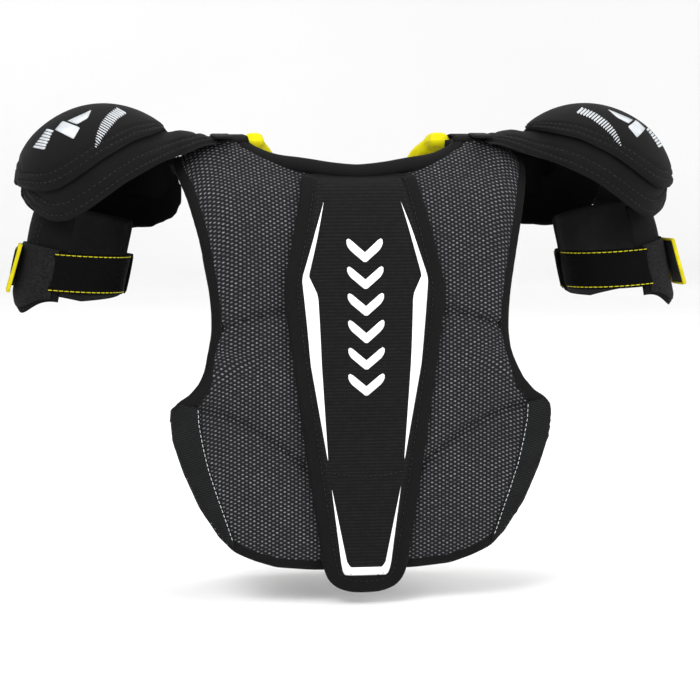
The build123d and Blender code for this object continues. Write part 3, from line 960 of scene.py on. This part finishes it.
printed("sternum_stripes", sternum_lift, [on_front(s_stripe), on_front([(-x, z) for x, z in s_stripe])],
        "chest", "white_print", "knit_fabric")

# ================================================================ side elastics
FLANK_MID = 46.0
flank_slope = (106 - 84) / (262 - 176)


def flank(z, y, gap):
    """The form's flank between the armhole and the hem: x at a height and depth."""
    mid = FLANK_MID + (z + 176) * flank_slope
    return mid + math.sqrt(max((60 + gap) ** 2 - (y - 8) ** 2, 0.0))


def side_band():
    """The broad elastic from inside the back panel's wing round the flank to its hook tab."""
    m, n = 50, 22
    G = np.zeros((m, n, 3))
    for i in range(m):
        y = -50.5 + 119.5 * i / (m - 1)
        for j in range(n):
            g = j / (n - 1)
            t = min(1.0, max(0.0, (y + 50) / 100))
            top, low = -177.5 - 17 * t, -250 + 11 * min(1.0, 2.2 * t)
            z = top + (low - top) * g
            mid = FLANK_MID + (z + 176) * flank_slope
            if y < 50:
                x = flank(z, y, 5.2 + 0.5 * math.sin(7 * t) * math.sin(math.pi * g))
            else:
                x = mid + 49.6 + 0.012 * (60 - y)
            G[i, j] = (x, y, z)
    return G


def shell_from_grid(name, G, t_out, t_in, mats, edge=2.0):
    """A closed piece from a grid of points: skins off both sides of it, edges drawn together."""
    m, n = G.shape[:2]
    du = np.gradient(G, axis=0)
    dv = np.gradient(G, axis=1)
    N = np.cross(du, dv)
    N /= np.maximum(np.linalg.norm(N, axis=-1, keepdims=True), 1e-9)
    su = np.concatenate([np.zeros((1, n)), np.cumsum(np.linalg.norm(np.diff(G, axis=0), axis=-1), axis=0)])
    sv = np.concatenate([np.zeros((m, 1)), np.cumsum(np.linalg.norm(np.diff(G, axis=1), axis=-1), axis=1)],
                        axis=1)
    d = np.minimum(np.minimum(su, su[-1:] - su), np.minimum(sv, sv[:, -1:] - sv))
    k = np.sqrt(np.clip(1 - (1 - np.clip(d / edge, 0, 1)) ** 2, 0, 1))
    to = t_out(su, sv, d) if callable(t_out) else t_out
    ti = t_in(su, sv, d) if callable(t_in) else t_in
    mid = 0.5 * (to - ti)
    half = 0.5 * (to + ti) * k
    top = G + N * (mid + half)[..., None]
    low = G + N * (mid - half)[..., None]
    verts = np.vstack([top.reshape(-1, 3), low.reshape(-1, 3)])
    uvs = np.stack([su, sv], -1).reshape(-1, 2)
    idx = np.arange(m * n).reshape(m, n)
    F = []
    fm = []
    for i in range(m - 1):
        for j in range(n - 1):
            q = [int(idx[i, j]), int(idx[i + 1, j]), int(idx[i + 1, j + 1]), int(idx[i, j + 1])]
            F.append(q)
            fm.append(0)
            F.append([v_ + m * n for v_ in reversed(q)])
            fm.append(min(1, len(mats) - 1))
    ring = list(idx[0, :]) + list(idx[1:, -1]) + list(idx[-1, -2::-1]) + list(idx[-2:0:-1, 0])
    ring = [int(v_) for v_ in ring]
    for a, b in zip(ring, ring[1:] + ring[:1]):
        F.append([a, b, b + m * n, a + m * n])
        fm.append(0)
    ob_ = outward(new_mesh(name, verts, F, mats, np.vstack([uvs, uvs]), fm))
    return ob_, top, low, N


Gside = side_band()
band_r, *_ = shell_from_grid("side_band_right", Gside, 0.9, 0.9, ["grey_elastic"], 1.0)
for hand, sg, ob in both(band_r):
    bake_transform(ob)
    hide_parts(f"side_elastic_{hand}", f"side_strap_{hand}")

# Hook tab at the front end, with a yellow edge.
gt = Gside[42:, :]
ahead = np.array([0.0, 1.0, 0.0])
tab_r, _, _, tab_N = shell_from_grid("side_hook_tab_right", gt + ahead, 1.0, 1.1, ["hook_fabric"], 1.0)
ring = np.vstack([gt[:, 0], gt[-1, 1:], gt[-2::-1, -1]]) + ahead
nr = np.vstack([tab_N[:, 0], tab_N[-1, 1:], tab_N[-2::-1, -1]])
tan = np.gradient(ring, axis=0)
tan /= np.maximum(np.linalg.norm(tan, axis=1, keepdims=True), 1e-9)
edge_r = sweep("side_tab_edge_right", ring, np.cross(tan, nr), nr, oval(1.3, 2.0, 0, 0.2, 10, 2.2),
               ["yellow_binding"], False)
for hand, sg, *obs in both(tab_r, edge_r):
    for ob in obs:
        put(ob, f"side_strap_{hand}", "hook_fabric")
    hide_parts(f"side_tab_{hand}")

# Loop patches on the chest's flanks.
Gl = np.array([[(FLANK_MID + (z + 176) * flank_slope + 46.4, y, z) for z in np.linspace(-199, -231, 12)]
               for y in np.linspace(50.5, 65.5, 8)])
loop_r, *_ = shell_from_grid("chest_loop_patch_right", Gl, 1.0, 1.2, ["loop_fabric"], 1.2)
for hand, sg, ob in both(loop_r):
    put(ob, "chest", "loop_fabric", f"chest_loop_{hand}")

# ================================================================ shoulder caps
CX, CZ, RATIO = 158.0, -35.0, 66 / 58.5
UP_RIM = np.array([(104, 12), (112, 8.5), (125, 6), (143, 1.3), (163, -9.7), (182, -23.4), (190, -28.5),
                   (197, -31), (207, -31), (218, -27)], float)
LOW = np.array([(80, 0), (92, -0.6), (98, -2.0), (102.4, -4.1), (113.4, -8.5), (124.3, -12.8), (135, -18),
                (149.7, -25.6), (160, -32.9), (171.6, -41.4), (184.8, -49.5), (194.7, -50.5), (203, -45.5),
                (209.6, -37), (213.5, -27)], float)
TOP = np.array([(80, 2.2), (88, 2.6), (93, 3.4), (98, 4.4), (105, 5.6), (112, 6.6), (118, 7.6), (126, 8.6),
                (140, 9)], float)


def smooth_interp(x, tab):
    t = np.linspace(-6, 6, 9)
    wgt = np.exp(-(t / 3.2) ** 2)
    wgt /= wgt.sum()
    return sum(w_ * np.interp(x + t_, tab[:, 0], tab[:, 1]) for w_, t_ in zip(wgt, t))


def dome_grid(Rr, rim, x0, x1, m=64, n=57, tongue=False):
    """Points over a dome: columns run across it from the back rim over the top to the front rim.
    With a tongue, its inner end flattens into the strip that goes to the shoulder."""
    G = np.zeros((m, n, 3))
    p0, p1 = (math.asin(np.clip((x - CX) / Rr, -1, 1)) for x in (x0, x1))
    s_ = np.linspace(-1, 1, n)
    for i in range(m):
        f = i / (m - 1)
        x = x0 + (x1 - x0) * math.sin(0.5 * math.pi * f) if tongue else CX + Rr * math.sin(p0
                + (p1 - p0) * f)
        k = math.sqrt(max(1 - ((x - CX) / Rr) ** 2, 1e-4)) if abs(x - CX) < Rr else 0.01
        zr = float(smooth_interp(x, rim))
        psi = s_ * math.acos(np.clip((zr - CZ) / (Rr * k), -0.95, 0.9995))
        y, z = Rr * RATIO * k * np.sin(psi), CZ + Rr * k * np.cos(psi)
        if tongue:
            q = np.clip((x - 108) / 26.0, 0, 1)
            q = q * q * (3 - 2 * q)
            top = float(smooth_interp(x, TOP)) - 1.6
            yt = s_ * (23 + 22 * np.clip((x - 88) / 42, 0, 1))
            zt = top - (top - zr) * np.abs(s_) ** 2.1
            y, z = y * q + yt * (1 - q), z * q + zt * (1 - q)
        G[i] = np.stack([np.full(n, x), y, z], -1)
    return G


def padded_dome(name, G, t_out, t_in, rows_in, mats, dent=1.15, edge=4.2):
    def to(su, sv, d):
        ch = sum(np.exp(-((d - r_) / 1.3) ** 2) for r_ in rows_in)
        bulge = 0.7 * np.sin(np.clip(d / 16.0, 0, 1) * math.pi / 2)
        return t_out + bulge - dent * np.clip(ch, 0, 1) + 0.3 * np.sin(su / 15.0 + 1.3 * np.sin(sv / 21.0))
    return shell_from_grid(name, G, to, t_in, mats, edge)


def rim_rows(G, top, N, insets):
    """Stitch rows that follow the whole rim of a grid at given distances in from it."""
    m, n = G.shape[:2]
    out = []
    for r_ in insets:
        for side in (0, 1):
            pts, nn = [], []
            for i in range(2, m - 1):
                col = top[i] if side == 0 else top[i, ::-1]
                cn = N[i] if side == 0 else N[i, ::-1]
                dd = np.concatenate([[0], np.cumsum(np.linalg.norm(np.diff(col, axis=0), axis=1))])
                if dd[-1] < 2.6 * r_:
                    continue
                pts.append([np.interp(r_, dd, col[:, c]) for c in range(3)])
                nn.append([np.interp(r_, dd, cn[:, c]) for c in range(3)])
            if len(pts) > 3:
                out.append((np.array(pts), np.array(nn)))
    return out


G_up = dome_grid(57.1, UP_RIM, 112.5, 213.8)
G_low = dome_grid(52.2, LOW, 86.5, 209.2, m=80, tongue=True)
up_r, up_top, up_low, up_N = padded_dome("cap_upper_shell_right", G_up, 0.8, 2.6, (6.0, 11.5), ["cap_shell"])


low_r, low_top, low_low, low_N = padded_dome("cap_lower_layer_right", G_low, 1.0, 3.0, (5.5, 13.0),
                                             ["cap_shell", "lining"])


def facing(top, low):
    """Which of two skins is the outer one of a dome, and the direction off it."""
    c = np.array([CX, 0, CZ - 20])
    a = np.linalg.norm(top - c, axis=-1).mean()
    b = np.linalg.norm(low - c, axis=-1).mean()
    return (top, 1.0) if a >= b else (low, -1.0)


up_skin, su_ = facing(up_top, up_low)
low_skin, sl_ = facing(low_top, low_low)
cap_threads = threads("cap_threads_right",
                      rim_rows(G_up, up_skin, up_N * su_, (6.0, 11.5))
                      + rim_rows(G_low, low_skin, low_N * sl_, (5.5, 13.0)),
                      "thread", 2.4, 1.5, 0.3)


def dome_point(x, z, side, Rr=58.9, h=0.0):
    """A point on the upper dome behind (side -1) or in front of the middle, seen from behind."""
    r2 = ((x - CX) ** 2 + (z - CZ) ** 2) / Rr ** 2
    y = side * Rr * RATIO * np.sqrt(np.maximum(1 - r2, 0.0))
    P = np.stack([x, y, z], -1)
    N = np.stack([(x - CX), y / RATIO ** 2, (z - CZ)], -1)
    N /= np.linalg.norm(N, axis=-1, keepdims=True)
    return P + N * h, N


def tree_of(ob):
    """The piece's own surface, to lay a print on."""
    me = ob.data
    return BVHTree.FromPolygons([v.co / MM for v in me.vertices], [tuple(p.vertices) for p in me.polygons])


def drape(tree, P, N, h):
    """Points dropped onto a surface along -N, then lifted off it by h."""
    out = np.array(P)
    for i, (p, n_) in enumerate(zip(P, N)):
        hit = tree.ray_cast(Vector(p + n_ * 14), Vector(-n_), 30)[0]
        if hit is not None:
            out[i] = np.array(hit) + n_ * h
    return out


up_tree = tree_of(up_r)


def cap_print(name, polys, side):
    allv, allf, base = [], [], 0
    for poly in polys:
        P, F = fill(resample(poly, 1.3, True), 1.5)
        Q, N = dome_point(P[:, 0], P[:, 1], side, 58.9, 0.0)
        n = len(P)
        allv.append(np.vstack([drape(up_tree, Q, N, 0.30), drape(up_tree, Q, N, -0.25)]))
        allf += [[v_ + base for v_ in f] for f in F] + [[v_ + base + n for v_ in reversed(f)] for f in F]
        allf += [[b + base, a + base, a + base + n, b + base + n] for a, b in boundary_loop(F)]
        base += 2 * n
    return outward(new_mesh(name, np.vstack(allv), allf, ["silver_print"]))


def cap_marks():
    """Generic print: a row of tapering slanted bars, two plain slanted slabs and a hatched block."""
    polys = []
    run = resample(np.array([(167.5, -2.7), (164.5, 4.0), (160.0, 10.5), (154.5, 16.0), (148.5, 19.2)]), 1.6)
    for i, c in enumerate(run):
        f = i / (len(run) - 1)
        L = 1.0 + 2.3 * math.sin(min(1.0, f * 1.5) * math.pi / 2)
        d, nrm = np.array([0.86, 0.51]), np.array([-0.51, 0.86]) * (0.30 + 0.16 * f)
        polys.append([c - d * L - nrm, c + d * L - nrm, c + d * L + nrm, c - d * L + nrm])
    polys.append([(190.5, 7.0), (180.5, 1.5), (176.0, 8.5), (185.5, 12.5)])
    polys.append([(182.6, 12.6), (167.5, 19.6), (170.5, 14.6), (177.5, 10.6)])
    a0, a1 = np.array([204.0, -4.0]), np.array([194.5, 8.0])
    for i in range(7):
        a, b = a0 + (a1 - a0) * i / 7, a0 + (a1 - a0) * (i + 0.74) / 7
        wide = 6.0 - 3.0 * i / 7
        polys.append([a, b, b + np.array([-wide, -1.2]), a + np.array([-wide, -1.2])])
    return polys


prints = [cap_print(f"cap_print_{tag}_right", cap_marks(), side) for side,
          tag in ((-1, "back"), (1, "front"))]

for hand, sg, *bits in both(up_r, low_r, cap_threads, *prints):
    put(bits[0], f"cap_{hand}", "cap_shell", f"cap_upper_{hand}", fill=0.8)
    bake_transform(bits[1])
    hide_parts(f"cap_lower_{hand}", f"cap_tongue_{hand}")
    for b_ in bits[2:]:
        put(b_, f"cap_{hand}", "cap_shell")


def raw_from_node(node, name, mats):
    """A copy of a CAD solid's mesh, to be filled and rounded as a pad."""
    src = bpy.data.objects[node] if node in bpy.data.objects else nodes[node]
    me = src.data.copy()
    me.name = name
    me.materials.clear()
    for m in mats:
        me.materials.append(slots[m])
    ob_ = bpy.data.objects.new(name, me)
    bpy.context.scene.collection.objects.link(ob_)
    return ob_


# Front lobes: foam under fabric, filled by a short cloth run.
lobe_r = puff(raw_from_node("cap_front_pad_right", "cap_front_lobe_right", ["pad_fabric"]), 3.0, 4.0, 1.5)
for hand, sg, ob in both(lobe_r):
    put(ob, f"cap_{hand}", "pad_fabric", f"cap_front_pad_{hand}", fill=0.7)

# Gusset: the cloth that joins each front lobe to the cap's lower layer.
Gg = []
for row in G_low:
    if 107 < row[0, 0] < 148:
        a = row[-7] if row[-1, 1] > 0 else row[6]
        b = np.array([a[0], max(a[1] - 2.0, 30.0), -38.0 + 1.7 * max(0.0, 116.0 - a[0])])
        Gg.append([a * (1 - f) + b * f - np.array([0, 0, 3.4]) * (1 - f) for f in np.linspace(0, 1, 10)])
gus_r, *_ = shell_from_grid("cap_gusset_right", np.array(Gg), 0.9, 0.9, ["pad_fabric"], 1.0)
for hand, sg, ob in both(gus_r):
    put(ob, f"cap_{hand}", "pad_fabric")

# Clavicle pads: yellow soft edges that show beside the neck.
pad_xz = [(71, 7), (66, -5), (61.0, -14), (56, -25), (51.5, -31.5), (47, -27.5), (43.3, -20), (43.0, -14.5),
          (46.5, -9), (52, -3.5), (58, 1.5), (63, 6)]
pad_out = FRONT.flat(rounded(pad_xz, True, 2, 1.6))


def pad_skin(P, top, low):
    e = np.sqrt(np.clip(1 - (1 - np.clip(seg_dist(P, pad_out, True) / 5.0, 0, 1)) ** 2, 0, 1))
    return (top + low) / 2 + (top - low) / 2 * e


cl_r = slab("clavicle_cushion_right", pad_out,
            lambda P: FRONT.off(P, pad_skin(P, 11.5, 1.0)), lambda P: FRONT.off(P, pad_skin(P, 1.0, 11.5)),
            1.5, ["yellow_lining"])
for hand, sg, ob in both(cl_r):
    put(ob, "chest", "yellow_lining", f"clavicle_pad_{hand}", fill=0.7)

# Anchor strips where the tongues are sewn to the shoulders.
Ga = np.array([[(x, y, 3.0 - 0.004 * y * y * 0.4) for y in np.linspace(-27, -3, 14)]
               for x in np.linspace(77.5, 90.5, 9)])
an_r, *_ = shell_from_grid("tongue_anchor_right", Ga, 1.2, 1.0, ["webbing"], 1.2)
for hand, sg, ob in both(an_r):
    put(ob, "vest_back", "webbing", f"cap_anchor_{hand}")

# Shoulder bridge: soft strip over the shoulder seam, from the back panel to the chest's strap.
Gb = []
for x in np.linspace(66.5, 87.5, 12):
    row = []
    for t in np.linspace(-14, 14, 17):
        sh = BACK if t < 0 else FRONT
        P = sh.at(x, abs(t))
        N = sh.normal(np.array([x]), np.array([max(abs(t), 3.0)]))[0]
        row.append(P + N * (9.9 - BASE))
    Gb.append(row)
Gb = np.array(Gb)
br_r, *_ = shell_from_grid("shoulder_bridge_right", Gb, 0.7, 0.7, ["binding"], 1.0)
for hand, sg, ob in both(br_r):
    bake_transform(ob)

# ================================================================ arm guards
AX, AZ, TILT = 178.0, -88.0, math.radians(12)


def arm_place(P):
    P = np.asarray(P, float)
    x, y, z = P[..., 0], P[..., 1], P[..., 2]
    return np.stack([AX + x * math.cos(TILT) - z * math.sin(TILT), y,
                     AZ + x * math.sin(TILT) + z * math.cos(TILT)], -1)


def arm_grid(r_of, a0, a1, z_of, m, n):
    """A wall about the arm: r_of(angle, height 0..1) and z_of(angle) -> (low, high)."""
    G = np.zeros((m, n, 3))
    for i in range(m):
        a = a0 + (a1 - a0) * i / (m - 1)
        lo, hi = z_of(a)
        for j in range(n):
            h = j / (n - 1)
            r_ = r_of(a, h)
            G[i, j] = (r_ * math.cos(rad(a)), r_ * math.sin(rad(a)), lo + (hi - lo) * h)
    return arm_place(G)


def hump(a):
    return math.exp(-((a + 26.0) / 24.0) ** 2)


def arm_lift(a):
    """The arm elastic climbs a little towards the inner side of the arm."""
    return 5.0 * (1 - math.cos(rad(a)))


def sleeve_r(a, h):
    return 32.6 - 1.6 * h * h + 0.7 * math.sin(math.pi * min(1.0, 2 * h))


Gp = arm_grid(sleeve_r, -74, 168, lambda a: (-15 - 12.0 * hump(a) + 8 * max(0.0, (a - 110) / 48.0), 44.0),
              84, 34)
bp_r, bp_top, bp_low, bp_N = shell_from_grid(
    "bicep_guard_right", Gp, lambda su, sv, d: 1.3 + 0.4 * np.sin(sv / 6.0), 2.0, ["pad_fabric", "lining"],
    3.2)
Gv = arm_grid(lambda a, h: 35.2, -66, 58, lambda a: (-13.5 - 10.5 * hump(a), 17), 44, 18)
vl_r, *_ = shell_from_grid("bicep_loop_panel_right", Gv, 0.8, 0.8, ["loop_fabric"], 1.0)
Gband = arm_grid(lambda a, h: 36.4 - 0.5 * math.sin(math.pi * h) - 1.8 * (1 - math.cos(rad(a))), -178, -60,
                 lambda a: (-13 + arm_lift(a), 13.0 + arm_lift(a)), 60, 14)
ab_r, ab_top, ab_low, ab_N = shell_from_grid("arm_band_web_right", Gband, 0.8, 0.8, ["black_elastic"], 0.9)
Gstrap = arm_grid(lambda a, h: 38.6 + 0.3 * math.sin(math.pi * h) - 1.8 * (1 - math.cos(rad(a))), 0, 177,
                  lambda a: (-13.0 + arm_lift(a), 13.0 + arm_lift(a)), 70, 14)
as_r, as_top, as_low, as_N = shell_from_grid("arm_strap_web_right", Gstrap, 0.8, 0.8, ["black_elastic"], 0.9)
Ghook = arm_place(np.array([[(39.0 - 0.07 * (z + 14) + 0.0035 * max(0.0, -y - 2) ** 2, y, z)
                             for z in np.linspace(-15, 15, 12)]
                            for y in np.linspace(-20.5, 1.5, 20)]))
hk_r, _, _, hk_N = shell_from_grid("arm_hook_tab_right", Ghook, 1.0, 1.0, ["hook_fabric"], 1.0)


def ring_of(G):
    return np.vstack([G[:, 0], G[-1, 1:], G[-2::-1, -1], G[0, -2:0:-1]])


def edge_tape(name, G, N, half_b, half_n, mat):
    rg, nr_ = ring_of(G), ring_of(N)
    t_ = np.roll(rg, -1, 0) - np.roll(rg, 1, 0)
    t_ /= np.maximum(np.linalg.norm(t_, axis=1, keepdims=True), 1e-9)
    return sweep(name, rg, np.cross(t_, nr_), nr_, oval(half_b, half_n, 0, 0, 10, 2.2), [mat], True)


hk_edge = edge_tape("arm_hook_edge_right", Ghook, hk_N, 0.7, 1.25, "yellow_binding")


def skin_rows(N, top, low, js):
    """Stitch rows along a band, on its outer skin."""
    ax = arm_place(np.zeros(3))
    a = np.linalg.norm(top - ax, axis=-1).mean()
    b = np.linalg.norm(low - ax, axis=-1).mean()
    skin, sgn = (top, 1.0) if a >= b else (low, -1.0)
    out = []
    for j in js:
        jj = int(j)
        f = j - jj
        out.append((skin[:, jj] * (1 - f) + skin[:, min(jj + 1, skin.shape[1] - 1)] * f, N[:, jj] * sgn))
    return out


yt_band = threads("arm_band_threads_right", skin_rows(ab_N, ab_top, ab_low, (0.8, 12.2)), "yellow_thread",
                  3.4, 0.12, 0.30)
yt_strap = threads("arm_strap_threads_right", skin_rows(as_N, as_top, as_low, (0.8, 12.2)), "yellow_thread",
                   3.4, 0.12, 0.30)

# Stitched seam down the outer back of the guard.
seam_i = 14
sk = skin_rows(bp_N.transpose(1, 0, 2), bp_top.transpose(1, 0, 2), bp_low.transpose(1, 0, 2),
               (seam_i, seam_i + 3))
bp_th = threads("bicep_guard_threads_right", sk, "thread", 2.2, 1.4, 0.28)

for hand, sg, *obs in both(bp_r, vl_r, ab_r, yt_band, as_r, yt_strap, hk_r, hk_edge, bp_th):
    parts = {ob.name.replace("_" + hand, ""): ob for ob in obs}
    for k_, ob in parts.items():
        if k_.startswith("bicep_guard"):
            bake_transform(ob)
        elif k_.startswith("arm_strap") or k_.startswith("arm_hook"):
            put(ob, f"arm_strap_{hand}", "black_elastic" if "strap" in k_ else "hook_fabric")
        else:
            put(ob, f"bicep_{hand}", "loop_fabric" if k_ == "bicep_loop_panel" else "black_elastic")
    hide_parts(f"bicep_pad_{hand}", f"bicep_plate_{hand}", f"bicep_hanger_{hand}")
    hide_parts(f"bicep_loop_{hand}")
    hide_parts(f"arm_band_{hand}")
    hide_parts(f"arm_strap_{hand}")
    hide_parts(f"arm_hook_{hand}")

# ================================================================ studio
sc = bpy.context.scene
floor_z = cad_box[0][2] - 0.001
verts, faces = [], []
bend, far = 0.8, 3.4
prof = [(-7.0, 0.0), (far, 0.0)]
prof += [(far + bend * math.sin(rad(a)), bend - bend * math.cos(rad(a))) for a in range(10, 91, 10)]
prof.append((far + bend, 5.0))
for y, z in prof:
    for x in (-7.0, 7.0):
        verts.append((x, y, z + floor_z))
for i in range(len(prof) - 1):
    faces.append([2 * i, 2 * i + 1, 2 * i + 3, 2 * i + 2])
me = bpy.data.meshes.new("floor")
me.from_pydata(verts, [], faces)
me.polygons.foreach_set("use_smooth", [True] * len(me.polygons))
fs = Shader("floor_paint", 0.9, spec=0.1)
fs.colour(fs.mix(fs.smooth(fs.noise(1.5, 2), 0.3, 0.7), (0.90, 0.90, 0.90), (0.93, 0.93, 0.93)))
me.materials.append(slots["floor_paint"])
floor = bpy.data.objects.new("floor", me)
sc.collection.objects.link(floor)

w = bpy.data.worlds.new("studio")
sc.world = w
w.use_nodes = True
w.node_tree.nodes["Background"].inputs[0].default_value = (1, 1, 1, 1)
w.node_tree.nodes["Background"].inputs[1].default_value = 0.95


def area(name, loc, aim, size, power):
    L = bpy.data.lights.new(name, "AREA")
    L.energy = power
    L.size = size
    o_ = bpy.data.objects.new(name, L)
    o_.location = loc
    o_.rotation_euler = (Vector(aim) - Vector(loc)).to_track_quat("-Z", "Y").to_euler()
    sc.collection.objects.link(o_)


area("key", (-0.9, -1.5, 1.1), (0, 0, -0.12), 0.9, 26)
area("fill", (1.3, -1.2, 0.5), (0, 0, -0.12), 1.1, 14)
area("top", (0, 0.2, 1.6), (0, 0, -0.1), 1.2, 16)

cam = bpy.data.cameras.new("camera")
cam_ob = bpy.data.objects.new("camera", cam)
sc.collection.objects.link(cam_ob)
sc.camera = cam_ob
aim = Vector((0.0016, 0.0, -0.1365))
az, el, dist_ = rad(-10), rad(5), 1.9
cam_ob.location = aim + dist_ * Vector((math.sin(az) * math.cos(el), -math.cos(az) * math.cos(el),
                                        math.sin(el)))
cam_ob.rotation_euler = (aim - cam_ob.location).to_track_quat("-Z", "Y").to_euler()
cam.sensor_width = 36
cam.lens = 36 / (2 * math.tan(math.atan(0.2275 / dist_)))
cam.clip_end = 30
sc.view_settings.view_transform = "Standard"
